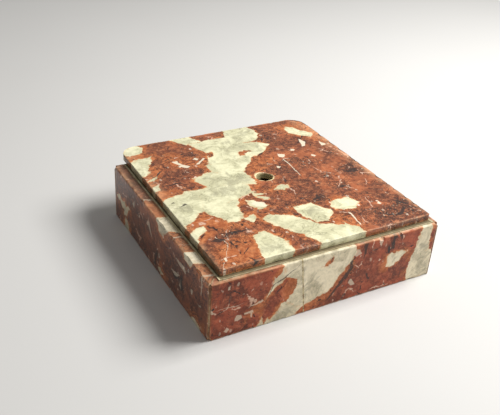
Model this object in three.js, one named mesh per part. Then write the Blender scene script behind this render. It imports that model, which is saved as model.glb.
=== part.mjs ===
// A marble plinth, the built-up base of a lamp or a figure. Units are millimetres and +Z is up.
// The origin is on the ground, under the middle of the whole object.
//
// Four upright slabs, mitred at the corners, make the body. It is open underneath. The front slab
// is in two lengths with a leaning joint. A thin bored slab is bedded on their top edges: it leaves
// a ledge at the front and the sides, and overhangs the back. Every joint is filled with cement.
import * as THREE from "three";

// Body
const BODY_WIDTH = 150;
const BODY_DEPTH = 140;
const BODY_HEIGHT = 37;
const WALL = 12; // thickness of the upright slabs
const ARRIS = 0.5; // easing of the sawn edges

// Joints between the slabs
const JOINT = 0.8; // from stone to stone
const CEMENT = 0.4; // thickness of the cement in a joint
const CEMENT_INSET = 0.4; // how far the cement stops short of the stone's faces
const SEAM_X = -15.5; // where the joint in the front slab meets the ground
const SEAM_LEAN = 4.5; // how much further left it is at the top

// Top slab
const TOP_WIDTH = 138;
const TOP_DEPTH = 148;
const TOP_THICKNESS = 4.2;
const TOP_SHIFT = 1.5; // from the body's middle to the slab's, to the right
const FRONT_LEDGE = 4;
const BACK_CORNER_RADIUS = 10.5;
const FRONT_CORNER_RADIUS = 1;
const HOLE_RADIUS = 5.2;
const HOLE_X = 3; // from the body's middle
const HOLE_Y = 12.2;

// Bed of cement under the top slab
const BED = 0.3;
const BED_CLEARANCE = 0.1; // above it and below it
const BED_SIDE_BEAD = 1; // squeezed out past the slab's left and right sides
const BED_FRONT_BEAD = 2.4;
const BED_INNER_EDGE = 2; // how far it stops short of the hollow
const BED_BACK_EDGE = 1.5; // how far it stops short of the body's back face

const ARC_SEGMENTS = 12;
const BEVEL_SEGMENTS = 2;

// Worked out from the above
const HALF_WIDTH = BODY_WIDTH / 2;
const HALF_DEPTH = BODY_DEPTH / 2;
const TOP_LEFT = TOP_SHIFT - TOP_WIDTH / 2;
const TOP_RIGHT = TOP_SHIFT + TOP_WIDTH / 2;
const TOP_FRONT = FRONT_LEDGE - HALF_DEPTH;
const TOP_BACK = TOP_FRONT + TOP_DEPTH;
const TOP_BASE_Z = BODY_HEIGHT + BED + 2 * BED_CLEARANCE;
const BACK_OVERHANG = TOP_BACK - HALF_DEPTH;
// Along the wall, half of a mitre joint is wider than across it.
const MITRE_GAP = (JOINT / 2) * Math.SQRT2;

const redMarble = new THREE.MeshStandardMaterial({ color: 0x9c5238, roughness: 0.35 });
const creamMarble = new THREE.MeshStandardMaterial({ color: 0xcfc9a6, roughness: 0.35 });
const cement = new THREE.MeshStandardMaterial({ color: 0x9a9170, roughness: 0.9 });

function outline(points) {
  return new THREE.Shape(points.map(([x, y]) => new THREE.Vector2(x, y)));
}

// An outline standing on z = base, with its top and bottom edges eased by arris.
function prism(shape, height, base, arris) {
  const geometry = new THREE.ExtrudeGeometry(shape, {
    depth: height - 2 * arris,
    bevelEnabled: arris > 0,
    bevelThickness: arris,
    bevelSize: arris,
    bevelOffset: -arris,
    bevelSegments: BEVEL_SEGMENTS,
    curveSegments: ARC_SEGMENTS,
  });
  geometry.translate(0, 0, base + arris);
  return geometry;
}

// Leans the vertices that pick chooses to the left, by SEAM_LEAN at the top of the body.
function lean(geometry, pick) {
  const position = geometry.getAttribute("position");
  for (let i = 0; i < position.count; i++) {
    if (!pick(position.getX(i))) continue;
    position.setX(i, position.getX(i) - (SEAM_LEAN * position.getZ(i)) / BODY_HEIGHT);
  }
  return geometry;
}

function add(group, name, geometry, material) {
  const mesh = new THREE.Mesh(geometry, material);
  mesh.name = name;
  group.add(mesh);
  return mesh;
}

// An upright slab lying along X, with its outer face at y = -reach. A mitred end runs in at 45
// degrees from the outer face to the inner one, and a square end is cut straight.
function uprightSlab(left, right, reach, leftMitred, rightMitred) {
  const innerLeft = left + (leftMitred ? WALL : 0);
  const innerRight = right - (rightMitred ? WALL : 0);
  const points = [
    [left, -reach],
    [right, -reach],
    [innerRight, -reach + WALL],
    [innerLeft, -reach + WALL],
  ];
  return prism(outline(points), BODY_HEIGHT, 0, ARRIS);
}

function frontSlabs(group) {
  const outerEnd = HALF_WIDTH - MITRE_GAP;
  const seamLeft = SEAM_X - JOINT / 2;
  const seamRight = SEAM_X + JOINT / 2;
  const leftPiece = uprightSlab(-outerEnd, seamLeft, HALF_DEPTH, true, false);
  const rightPiece = uprightSlab(seamRight, outerEnd, HALF_DEPTH, false, true);
  const nearSeam = (x) => Math.abs(x - SEAM_X) < JOINT / 2 + 2 * ARRIS;
  add(group, "front_slab_left", lean(leftPiece, nearSeam), redMarble);
  add(group, "front_slab_right", lean(rightPiece, nearSeam), redMarble);

  const seam = new THREE.BoxGeometry(CEMENT, WALL - 2 * CEMENT_INSET, BODY_HEIGHT - 2 * CEMENT_INSET);
  seam.translate(SEAM_X, WALL / 2 - HALF_DEPTH, BODY_HEIGHT / 2);
  add(group, "front_seam_cement", lean(seam, () => true), cement);
}

function sideAndBackSlabs(group) {
  const sideEnd = HALF_DEPTH - MITRE_GAP;
  const backEnd = HALF_WIDTH - MITRE_GAP;
  const left = add(group, "left_slab", uprightSlab(-sideEnd, sideEnd, HALF_WIDTH, true, true), redMarble);
  left.rotation.z = -Math.PI / 2;
  const right = add(group, "right_slab", uprightSlab(-sideEnd, sideEnd, HALF_WIDTH, true, true), redMarble);
  right.rotation.z = Math.PI / 2;
  const back = add(group, "back_slab", uprightSlab(-backEnd, backEnd, HALF_DEPTH, true, true), redMarble);
  back.rotation.z = Math.PI;
}

// The thin sheet of cement in each mitre, which runs from the outer corner to the inner one.
function mitreCements(group) {
  const corners = [
    ["front_left_corner_cement", -1, -1],
    ["front_right_corner_cement", 1, -1],
    ["back_left_corner_cement", -1, 1],
    ["back_right_corner_cement", 1, 1],
  ];
  const length = WALL * Math.SQRT2 - 2 * CEMENT_INSET - CEMENT;
  const height = BODY_HEIGHT - 2 * CEMENT_INSET;
  for (const [name, sideX, sideY] of corners) {
    const sheet = add(group, name, new THREE.BoxGeometry(length, CEMENT, height), cement);
    const x = sideX * (HALF_WIDTH - WALL / 2);
    const y = sideY * (HALF_DEPTH - WALL / 2);
    sheet.position.set(x, y, BODY_HEIGHT / 2);
    sheet.rotation.z = (sideX * sideY * Math.PI) / 4;
  }
}

function bed(group) {
  const left = TOP_LEFT - BED_SIDE_BEAD;
  const right = TOP_RIGHT + BED_SIDE_BEAD;
  const front = TOP_FRONT - BED_FRONT_BEAD;
  const back = HALF_DEPTH - BED_BACK_EDGE;
  const innerX = HALF_WIDTH - WALL + BED_INNER_EDGE;
  const innerY = HALF_DEPTH - WALL + BED_INNER_EDGE;
  const ring = outline([[left, front], [right, front], [right, back], [left, back]]);
  ring.holes.push(outline([[-innerX, -innerY], [-innerX, innerY], [innerX, innerY], [innerX, -innerY]]));
  add(group, "top_bed_cement", prism(ring, BED, BODY_HEIGHT + BED_CLEARANCE, 0), cement);
}

function topSlab(group) {
  const shape = new THREE.Shape();
  const f = FRONT_CORNER_RADIUS;
  const b = BACK_CORNER_RADIUS;
  const quarter = Math.PI / 2;
  shape.moveTo(TOP_LEFT + f, TOP_FRONT);
  shape.lineTo(TOP_RIGHT - f, TOP_FRONT);
  shape.absarc(TOP_RIGHT - f, TOP_FRONT + f, f, -quarter, 0, false);
  shape.lineTo(TOP_RIGHT, TOP_BACK - b);
  shape.absarc(TOP_RIGHT - b, TOP_BACK - b, b, 0, quarter, false);
  shape.lineTo(TOP_LEFT + b, TOP_BACK);
  shape.absarc(TOP_LEFT + b, TOP_BACK - b, b, quarter, 2 * quarter, false);
  shape.lineTo(TOP_LEFT, TOP_FRONT + f);
  shape.absarc(TOP_LEFT + f, TOP_FRONT + f, f, 2 * quarter, 3 * quarter, false);
  const hole = new THREE.Path();
  hole.absarc(HOLE_X, HOLE_Y, HOLE_RADIUS, 0, 4 * quarter, true);
  shape.holes.push(hole);
  add(group, "top_slab", prism(shape, TOP_THICKNESS, TOP_BASE_Z, ARRIS), creamMarble);
}

const plinth = new THREE.Group();
const built = new THREE.Group(); // laid out about the body's middle
built.position.y = -BACK_OVERHANG / 2;
plinth.add(built);
frontSlabs(built);
sideAndBackSlabs(built);
mitreCements(built);
bed(built);
topSlab(built);

export default plinth;
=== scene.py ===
"""A marble plinth, the built-up base of a lamp or a figure.

Mitred upright slabs make a hollow body, and a thin bored slab is bedded on their top edges. The
marble is a red-brown and cream breccia, sawn from several blocks. The top, the front and the left
side have a figure of their own, and the right side and the back share one. The arrises are worn
and chipped, and yellowed cement shows in the joints.
"""

import math

import bmesh
import bpy
from mathutils import Matrix, Quaternion, Vector


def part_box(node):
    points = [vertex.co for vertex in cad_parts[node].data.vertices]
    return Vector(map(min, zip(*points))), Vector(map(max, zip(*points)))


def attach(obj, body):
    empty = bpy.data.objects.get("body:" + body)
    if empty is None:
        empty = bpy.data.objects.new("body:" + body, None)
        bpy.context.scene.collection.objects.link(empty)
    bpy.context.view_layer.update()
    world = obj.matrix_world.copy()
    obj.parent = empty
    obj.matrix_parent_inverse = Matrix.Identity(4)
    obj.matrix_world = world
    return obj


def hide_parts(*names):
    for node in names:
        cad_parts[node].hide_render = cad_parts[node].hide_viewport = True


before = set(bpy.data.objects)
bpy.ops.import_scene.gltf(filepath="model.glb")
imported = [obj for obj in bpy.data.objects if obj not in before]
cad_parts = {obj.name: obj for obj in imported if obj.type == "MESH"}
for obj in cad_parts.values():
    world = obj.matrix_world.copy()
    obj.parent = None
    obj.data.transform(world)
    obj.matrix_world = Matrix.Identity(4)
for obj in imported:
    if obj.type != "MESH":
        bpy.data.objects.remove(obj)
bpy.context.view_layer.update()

MM = 0.001

# ---------------------------------------------------------------------------------- measurements

BODY_LOW = Vector((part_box("left_slab")[0].x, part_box("front_slab_left")[0].y, 0.0))
BODY_HIGH = Vector((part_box("right_slab")[1].x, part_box("back_slab")[1].y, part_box("left_slab")[1].z))
BODY_MIDDLE = (BODY_LOW + BODY_HIGH) / 2
BODY_TOP = BODY_HIGH.z
HALF_WIDTH = (BODY_HIGH.x - BODY_LOW.x) / 2
HALF_DEPTH = (BODY_HIGH.y - BODY_LOW.y) / 2
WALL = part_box("left_slab")[1].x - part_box("left_slab")[0].x
TOP_LOW, TOP_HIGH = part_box("top_slab")

JOINT = 0.7 * MM  # from stone to stone, filled with cement
SEAM_FOOT = -15.5 * MM  # where the joint in the front slab meets the ground
SEAM_LEAN = 4.5 * MM  # how much further left it is at the top
HOLE_CENTRE = Vector((3.0 * MM, 12.2 * MM)) + BODY_MIDDLE.xy
HOLE_RADIUS = 5.2 * MM
BACK_CORNER = 10.5 * MM
FRONT_CORNER = 1.0 * MM
ARRIS = 0.7 * MM  # how far the sawn edges are rubbed off
ARRIS_BAND = 3.0 * MM  # the strip along an edge in which it is worn and chipped
NIBBLE_DEPTH = 0.5 * MM  # the deepest nick in a worn arris
HIGHLIGHT_BAND = 1.0 * MM  # how far the painted highlight reaches from an arris
FRESH_DEPTH = 0.4 * MM  # stone lost by this much shows as fresh
STEP = 0.8 * MM  # length of the facets along an edge
LONG = 20 * MM  # only edges that run the length or the height of a stone are longer
JOINT_FOOT = 0.3 * MM  # the filling of an upright joint stops this far above the ground
JOINT_HEIGHT = BODY_TOP - 0.4 * MM  # and is this high


# ------------------------------------------------------------------------------------- modelling

def focus(piece):
    """Selects one piece alone and makes it the active one."""
    bpy.ops.object.select_all(action="DESELECT")
    piece.select_set(True)
    bpy.context.view_layer.objects.active = piece


def start_edit(piece):
    focus(piece)
    bpy.ops.object.mode_set(mode="EDIT")


def end_edit():
    bpy.ops.object.mode_set(mode="OBJECT")


def pick(piece, kind, test):
    """In edit mode, selects the elements of a kind, VERT, EDGE or FACE, that pass the test. It gets
    a vertex's place, the places of an edge's two ends, or the face itself."""
    bpy.ops.mesh.select_mode(type=kind)
    bpy.ops.mesh.select_all(action="DESELECT")
    mesh = bmesh.from_edit_mesh(piece.data)
    if kind == "VERT":
        for vert in mesh.verts:
            vert.select_set(test(vert.co))
    elif kind == "EDGE":
        for edge in mesh.edges:
            edge.select_set(test(edge.verts[0].co, edge.verts[1].co))
    else:
        for face in mesh.faces:
            face.select_set(test(face))
    bmesh.update_edit_mesh(piece.data)


def along(axis, least=0.0):
    """A test for edges that run along an axis (0, 1 or 2) and are longer than least."""
    def test(a, b):
        way = b - a
        return way.length > least and abs(way[axis]) > 0.9 * way.length
    return test


def refine(piece, test, cuts):
    """In edit mode, subdivides the edges that pass the test."""
    pick(piece, "EDGE", test)
    bpy.ops.mesh.subdivide(number_cuts=cuts)


def cut_through(piece, axis, place):
    """Bisects the whole piece, in edit mode, by a plane across an axis."""
    normal = Vector((0, 0, 0))
    normal[axis] = 1
    bpy.ops.mesh.select_mode(type="FACE")
    bpy.ops.mesh.select_all(action="SELECT")
    bpy.ops.mesh.bisect(plane_co=normal * place, plane_no=normal)


def thicken(piece, height):
    """In edit mode, extrudes a level sheet upwards into a closed solid."""
    pick(piece, "FACE", lambda face: True)
    bpy.ops.mesh.extrude_region_move(TRANSFORM_OT_translate={"value": (0, 0, height)})
    bpy.ops.mesh.select_all(action="SELECT")
    bpy.ops.mesh.normals_make_consistent(inside=False)


def apply_place(piece):
    focus(piece)
    bpy.ops.object.transform_apply(location=True, rotation=True, scale=True)


def apply_modifiers(piece):
    focus(piece)
    for modifier in list(piece.modifiers):
        bpy.ops.object.modifier_apply(modifier=modifier.name)


def block(name, low, high):
    """A sawn block between two corners, ready to be shaped."""
    bpy.ops.object.select_all(action="DESELECT")
    bpy.ops.mesh.primitive_cube_add(size=1, location=(low + high) / 2, scale=high - low)
    piece = bpy.context.object
    piece.name = name
    apply_place(piece)
    return piece


def level_sheet(name, low, high):
    """A flat rectangle between two corners of one height, ready to be shaped."""
    bpy.ops.object.select_all(action="DESELECT")
    bpy.ops.mesh.primitive_plane_add(size=1, location=(low + high) / 2)
    piece = bpy.context.object
    piece.name = name
    piece.scale = (high.x - low.x, high.y - low.y, 1)
    apply_place(piece)
    return piece


def band_weights(piece, name, weight_at):
    """A vertex group holding weight_at(place) for each vertex."""
    group = piece.vertex_groups.new(name=name)
    for vert in piece.data.vertices:
        weight = weight_at(vert.co)
        if weight > 0.001:
            group.add([vert.index], min(weight, 1.0), "REPLACE")
    return group


def grain_texture(name, size, low, high):
    """A cloud pattern that is nothing below low and full above high."""
    texture = bpy.data.textures.new(name, type="CLOUDS")
    texture.noise_scale = size
    texture.noise_depth = 3
    texture.use_color_ramp = True
    ramp = texture.color_ramp
    ramp.elements[0].position = low
    ramp.elements[0].color = (0, 0, 0, 1)
    ramp.elements[1].position = high
    ramp.elements[1].color = (1, 1, 1, 1)
    return texture


def press_in(piece, group, texture, depth):
    """Moves the surface in along its normals by up to depth, where the group has weight."""
    modifier = piece.modifiers.new("worn", "DISPLACE")
    modifier.texture = texture
    modifier.texture_coords = "LOCAL"
    modifier.direction = "NORMAL"
    modifier.vertex_group = group.name
    modifier.mid_level = 0.0
    modifier.strength = -depth


def press_skin_in(piece, texture, depth):
    """Moves the whole surface in, in lumps."""
    skin = band_weights(piece, "skin", lambda place: 1.0)
    press_in(piece, skin, texture, depth)
    apply_modifiers(piece)


def cut_away(piece, cutter, name):
    """Takes the cutter's shape out of the piece, and throws the cutter away."""
    cut = piece.modifiers.new(name, "BOOLEAN")
    cut.object = cutter
    cut.operation = "DIFFERENCE"
    cut.solver = "EXACT"
    apply_modifiers(piece)
    bpy.data.objects.remove(cutter)


def chip_away(piece, chips):
    """Knocks chips off with lumpy cutters. Each chip is a place and three half sizes."""
    for centre, size in chips:
        bpy.ops.object.select_all(action="DESELECT")
        bpy.ops.mesh.primitive_ico_sphere_add(subdivisions=4, radius=1, location=centre, scale=size)
        cutter = bpy.context.object
        apply_place(cutter)
        press_skin_in(cutter, grain_texture("fracture", 2.5 * MM, 0.2, 0.9), 0.2 * min(size))
        cut_away(piece, cutter, "chipped")


def wear_down(piece, face_gaps, highlight_share, chips=()):
    """Rubs and chips the arrises. face_gaps gives how deep a place is under the two nearest of the
    stone's true faces, nearest first, and highlight_share is how strong a painted highlight along
    the arris is."""
    def near_edge(place):
        depth, from_edge = face_gaps(place)
        if depth > ARRIS / 2:
            return 0.0
        share = 1 - math.hypot(depth, from_edge) / ARRIS_BAND
        return max(share, 0.0) ** 2.5

    chip_away(piece, chips)
    rubbed = band_weights(piece, "rubbed", near_edge)
    press_in(piece, rubbed, grain_texture("nibbled", 3.5 * MM, 0.42, 0.68), NIBBLE_DEPTH)
    apply_modifiers(piece)
    piece.vertex_groups.clear()

    # An arris gets a painted highlight of highlight_share, and whatever lies well under the true faces
    # is worn to fresh stone.
    worn = piece.data.attributes.new("worn", "FLOAT", "POINT")
    for vert in piece.data.vertices:
        depth, from_edge = face_gaps(vert.co)
        highlight_here = highlight_share * (1 - from_edge / HIGHLIGHT_BAND)
        lost_here = (depth - ARRIS / 2) / FRESH_DEPTH
        worn.data[vert.index].value = min(max(highlight_here, lost_here, 0.0), 1.0)


def smooth(piece, angle=40):
    focus(piece)
    bpy.ops.object.shade_smooth_by_angle(angle=math.radians(angle))


def finish_piece(piece, node, material):
    piece.data.materials.clear()
    piece.data.materials.append(material)
    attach(piece, "root")
    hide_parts(node)


# -------------------------------------------------------------------------------- upright slabs

def upright_stone(name, left, right, reach, turn, left_cut="mitre", right_cut="mitre", chips=()):
    """An upright slab from left to right along X, with its outer face at y = -reach, turned into
    place about the body's middle. A cut is a mitre, or a seam that leans."""
    low = Vector((left, -reach, 0))
    high = Vector((right, -reach + WALL, BODY_TOP))
    stone = block(name, low, high)
    start_edit(stone)
    for end, cut, inward in ((left, left_cut, 1), (right, right_cut, -1)):
        if cut == "mitre":
            pick(stone, "VERT", lambda v: abs(v.x - end) < MM and v.y > -reach + WALL / 2)
            bpy.ops.transform.translate(value=(inward * WALL, 0, 0))
        else:
            pick(stone, "VERT", lambda v: abs(v.x - end) < MM and v.z > BODY_TOP / 2)
            bpy.ops.transform.translate(value=(-SEAM_LEAN, 0, 0))

    # The long arrises are rubbed round, and so are the upright ones at the body's corners.
    def arris(a, b):
        if along(0, LONG)(a, b):
            return True
        outer = max(a.y, b.y) < -reach + MM
        at_corner = abs(a.x - left) < MM and left_cut == "mitre"
        at_corner = at_corner or (abs(a.x - right) < MM and right_cut == "mitre")
        return along(2)(a, b) and outer and at_corner

    pick(stone, "EDGE", arris)
    bpy.ops.mesh.bevel(offset=ARRIS, segments=3, affect="EDGES")
    for height in (ARRIS_BAND, BODY_TOP - ARRIS_BAND):
        cut_through(stone, 2, height)
    for depth in (-reach + ARRIS_BAND, -reach + WALL - ARRIS_BAND):
        cut_through(stone, 1, depth)

    # Finer facets in the strips that wear
    refine(stone, along(0, LONG), cuts=int((right - left) / STEP))
    strip = ARRIS_BAND - ARRIS
    for axis in (2, 1):
        across_strip = along(axis, 0.8 * strip)
        refine(stone, lambda a, b: across_strip(a, b) and (b - a).length < 1.2 * strip, cuts=3)
    refine(stone, along(2, LONG), cuts=23)
    end_edit()

    stone.rotation_euler.z = math.radians(turn)
    stone.location = BODY_MIDDLE.xy.to_3d()
    apply_place(stone)

    undo = Matrix.Rotation(-math.radians(turn), 4, "Z")

    def face_gaps(place):
        own = undo @ (place - BODY_MIDDLE.xy.to_3d())
        gaps = [own.y + reach, WALL - reach - own.y, own.z, BODY_TOP - own.z]
        if own.y < WALL / 3 - reach:
            gaps += [own.x - left] if left_cut == "mitre" else []
            gaps += [right - own.x] if right_cut == "mitre" else []
        return sorted(max(gap, 0.0) for gap in gaps)[:2]

    wear_down(stone, face_gaps, highlight_share=1.1, chips=chips)
    smooth(stone)
    return stone


# ------------------------------------------------------------------------------------- top slab

def top_stone(chips=()):
    """The thin slab: square front corners, round back ones and a rod hole."""
    size = TOP_HIGH - TOP_LOW
    middle = (TOP_LOW + TOP_HIGH) / 2
    stone = level_sheet("top_slab_stone", TOP_LOW, TOP_HIGH - Vector((0, 0, size.z)))
    start_edit(stone)
    for radius, facets, at_back in ((BACK_CORNER, 14, True), (FRONT_CORNER, 3, False)):
        pick(stone, "VERT", lambda v: (v.y > middle.y) == at_back and (
            abs(v.x - TOP_LOW.x) < MM or abs(v.x - TOP_HIGH.x) < MM))
        bpy.ops.mesh.bevel(offset=radius, segments=facets, affect="VERTICES")
    for axis in (0, 1):
        refine(stone, along(axis, LONG), cuts=int(size[axis] / STEP))
    thicken(stone, size.z)
    end_edit()

    # The hole is drilled.
    bpy.ops.object.select_all(action="DESELECT")
    bpy.ops.mesh.primitive_cylinder_add(
        vertices=72, radius=HOLE_RADIUS, depth=4 * size.z,
        location=(HOLE_CENTRE.x, HOLE_CENTRE.y, middle.z))
    cut_away(stone, bpy.context.object, "drilled")

    rounded = stone.modifiers.new("arris", "BEVEL")
    rounded.width = ARRIS
    rounded.segments = 4
    rounded.limit_method = "ANGLE"
    rounded.angle_limit = math.radians(50)
    apply_modifiers(stone)

    # Rings inside the arris keep the flat faces flat, and the sides get finer facets.
    start_edit(stone)
    refine(stone, along(2, size.z / 2), cuts=5)
    broad = 0.2 * size.x * size.y
    for ring in (0.5 * MM, 0.6 * MM, 0.8 * MM, 1.0 * MM):
        pick(stone, "FACE", lambda face: abs(face.normal.z) > 0.999 and face.calc_area() > broad)
        bpy.ops.mesh.inset(thickness=ring, depth=0)
    end_edit()

    def face_gaps(place):
        past_x = abs(place.x - middle.x) - size.x / 2 + BACK_CORNER
        past_y = place.y - TOP_HIGH.y + BACK_CORNER
        if past_x > 0 and past_y > 0:
            from_side = BACK_CORNER - math.hypot(past_x, past_y)
        else:
            from_side = min(BACK_CORNER - past_x, place.y - TOP_LOW.y, TOP_HIGH.y - place.y)
        from_hole = (place.xy - HOLE_CENTRE).length - HOLE_RADIUS
        from_face = min(place.z - TOP_LOW.z, TOP_HIGH.z - place.z)
        return sorted(max(gap, 0.0) for gap in (from_side, from_hole, from_face))[:2]

    wear_down(stone, face_gaps, highlight_share=0.55, chips=chips)
    smooth(stone)
    return stone


# --------------------------------------------------------------------------------------- joints

def roughen(piece, size, depth):
    """Gives a skin of cement its lumps."""
    press_skin_in(piece, grain_texture("trowelled", size, 0.3, 0.8), depth)
    piece.vertex_groups.clear()
    smooth(piece, angle=60)


def cement_sheet(name, length, x, y, turn, lean=0.0):
    """The cement in an upright joint: a thin sheet with an uneven skin, x and y away from the body's
    middle and turned from the X axis. lean moves its top sideways."""
    half = Vector((length / 2, JOINT / 2, 0))
    sheet = block(name, -half, half + Vector((0, 0, JOINT_HEIGHT)))
    start_edit(sheet)
    pick(sheet, "VERT", lambda v: v.z > JOINT_HEIGHT / 2)
    bpy.ops.transform.translate(value=(0, lean, 0))
    refine(sheet, along(2), cuts=70)
    refine(sheet, along(0, length / 2), cuts=24)
    end_edit()
    sheet.rotation_euler.z = math.radians(turn)
    sheet.location = BODY_MIDDLE.xy.to_3d() + Vector((x, y, JOINT_FOOT))
    apply_place(sheet)
    roughen(sheet, size=1.2 * MM, depth=0.06 * MM)
    return sheet


def seam_cement():
    """The leaning joint in the front slab."""
    return cement_sheet("front_seam_line", WALL, SEAM_FOOT, WALL / 2 - HALF_DEPTH, 90, SEAM_LEAN)


def corner_cement(name, side_x, side_y, chips=()):
    """The mitre joint at a corner of the body, from the hollow to just inside the arris."""
    arris_gap = 0.37 * MM
    length = WALL * math.sqrt(2) - arris_gap
    middle = WALL / 2 + arris_gap / math.sqrt(8)
    line = cement_sheet(name, length, side_x * (HALF_WIDTH - middle), side_y * (HALF_DEPTH - middle),
                        side_x * side_y * 45)
    chip_away(line, chips)
    return line


def bed_cement():
    """The bed under the top slab. A bead of it was squeezed out along the slab's foot, and its
    outer lip stands proud."""
    side, front, back = 1.5 * MM, 2.4 * MM, 1.5 * MM
    low = Vector((TOP_LOW.x - side, TOP_LOW.y - front, 0))
    high = Vector((TOP_HIGH.x + side, BODY_HIGH.y - back, 0))
    bed = level_sheet("top_bed_mortar", low, high)
    start_edit(bed)
    rim = 6 * MM
    bpy.ops.mesh.inset(thickness=rim, depth=0)

    # The middle is opened out over the hollow, and the sheet rests on the stone around it.
    rest = WALL - 2 * MM
    inner_x = HALF_WIDTH - rest
    inner_y = HALF_DEPTH - rest
    hollow = (
        (0, low.x + rim, BODY_MIDDLE.x - inner_x),
        (0, high.x - rim, BODY_MIDDLE.x + inner_x),
        (1, low.y + rim, BODY_MIDDLE.y - inner_y),
        (1, high.y - rim, BODY_MIDDLE.y + inner_y),
    )
    for axis, now, wanted in hollow:
        pick(bed, "VERT", lambda v: abs(v[axis] - now) < 0.1 * MM)
        move = Vector((0, 0, 0))
        move[axis] = wanted - now
        bpy.ops.transform.translate(value=move)
    pick(bed, "FACE", lambda face: (face.calc_center_median() - BODY_MIDDLE).xy.length < MM)
    bpy.ops.mesh.delete(type="FACE")
    thickness, lip_width, lip_rise, sunk = 0.45 * MM, 0.6 * MM, 0.25 * MM, 0.05 * MM
    thicken(bed, thickness)
    pick(bed, "FACE", lambda face: face.normal.z > 0.9)
    bpy.ops.mesh.inset(thickness=lip_width, depth=0)

    def on_lip(v):
        from_rim = min(v.x - low.x, high.x - v.x, v.y - low.y, high.y - v.y)
        return v.z > thickness / 2 and from_rim < 0.1 * MM

    pick(bed, "VERT", on_lip)
    bpy.ops.transform.translate(value=(0, 0, lip_rise))
    for axis in (0, 1):
        refine(bed, along(axis, LONG), cuts=180)
    end_edit()
    bed.location.z = BODY_TOP - sunk
    apply_place(bed)
    roughen(bed, size=1.6 * MM, depth=0.3 * MM)
    return bed


# ------------------------------------------------------------------------------------- finishes

def paint(red, green, blue):
    """A colour given as it looks, from 0 to 255, for a shader."""
    def linear(value):
        value /= 255
        return value / 12.92 if value <= 0.04045 else ((value + 0.055) / 1.055) ** 2.4
    return (linear(red), linear(green), linear(blue), 1.0)


class Recipe:
    """A material being mixed. Most methods add nodes and give back their last output. place is the
    place on the object in mm, moved by an offset."""

    def __init__(self, name, offset=(0, 0, 0)):
        self.material = bpy.data.materials.new(name)
        self.material.use_nodes = True
        self.tree = self.material.node_tree
        self.shader = self.tree.nodes["Principled BSDF"]
        texture = self.node("ShaderNodeTexCoord", {}).outputs["Object"]
        self.place = self.vector("MULTIPLY_ADD", texture, (1 / MM, 1 / MM, 1 / MM), offset)
        self.split = self.node("ShaderNodeSeparateXYZ", {"Vector": self.place}).outputs

    def node(self, kind, inputs, **settings):
        made = self.tree.nodes.new(kind)
        for name, value in settings.items():
            setattr(made, name, value)
        for name, value in inputs.items():
            self.set(made.inputs[name], value)
        return made

    def set(self, socket, value):
        if isinstance(value, bpy.types.NodeSocket):
            self.tree.links.new(value, socket)
        else:
            socket.default_value = value

    def math(self, operation, *values, clamp=False):
        inputs = dict(enumerate(values))
        made = self.node("ShaderNodeMath", inputs, operation=operation, use_clamp=clamp)
        return made.outputs[0]

    def vector(self, operation, *values):
        made = self.node("ShaderNodeVectorMath", dict(enumerate(values)), operation=operation)
        number = operation in ("LENGTH", "DOT_PRODUCT")
        return made.outputs["Value" if number else "Vector"]

    def times(self, first, second):
        return self.math("MULTIPLY", first, second)

    def largest(self, first, *others):
        for other in others:
            first = self.math("MAXIMUM", first, other)
        return first

    def noise(self, size, detail=4.0, rough=0.5, twist=0.0, output="Fac", place=None):
        """Cloudy noise from 0 to 1, with lumps of about size in mm."""
        inputs = {"Vector": place or self.place, "Scale": 1 / size, "Detail": detail,
                  "Roughness": rough, "Distortion": twist}
        return self.node("ShaderNodeTexNoise", inputs).outputs[output]

    def winding(self, noise):
        """Nothing along the winding lines where a noise is at its middle, and more beside them."""
        return self.math("ABSOLUTE", self.math("SUBTRACT", noise, 0.5))

    def cells(self, place, size, feature="F1"):
        """The outputs of a pattern of angular cells of about size in mm."""
        inputs = {"Vector": place, "Scale": 1 / size}
        return self.node("ShaderNodeTexVoronoi", inputs, feature=feature).outputs

    def chance(self, cells):
        """A random number from 0 to 1 for each cell."""
        return self.node("ShaderNodeSeparateColor", {"Color": cells["Color"]}).outputs[0]

    def fade(self, value, start, end, low=0.0, high=1.0):
        """Goes smoothly from low to high as value goes from start to end."""
        inputs = {"Value": value, "From Min": start, "From Max": end, "To Min": low, "To Max": high}
        made = self.node("ShaderNodeMapRange", inputs, interpolation_type="SMOOTHSTEP")
        return made.outputs["Result"]

    def mix(self, share, first, second, way="MIX"):
        """Colour first with share of colour second over it."""
        made = self.node("ShaderNodeMix", {}, data_type="RGBA", blend_type=way)
        self.set(made.inputs["Factor"], share)
        self.set(made.inputs[6], first)
        self.set(made.inputs[7], second)
        return made.outputs[2]

    def finish(self, colour, roughness, relief, strength, depth, sheen=0.5):
        """Gives the shader its values, with the relief as a bump, and gives back the material."""
        inputs = {"Height": relief, "Strength": strength, "Distance": depth}
        bump = self.node("ShaderNodeBump", inputs).outputs["Normal"]
        self.set(self.shader.inputs["Base Color"], colour)
        self.set(self.shader.inputs["Roughness"], roughness)
        self.set(self.shader.inputs["Specular IOR Level"], sheen)
        self.set(self.shader.inputs["Normal"], bump)
        return self.material


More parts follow.
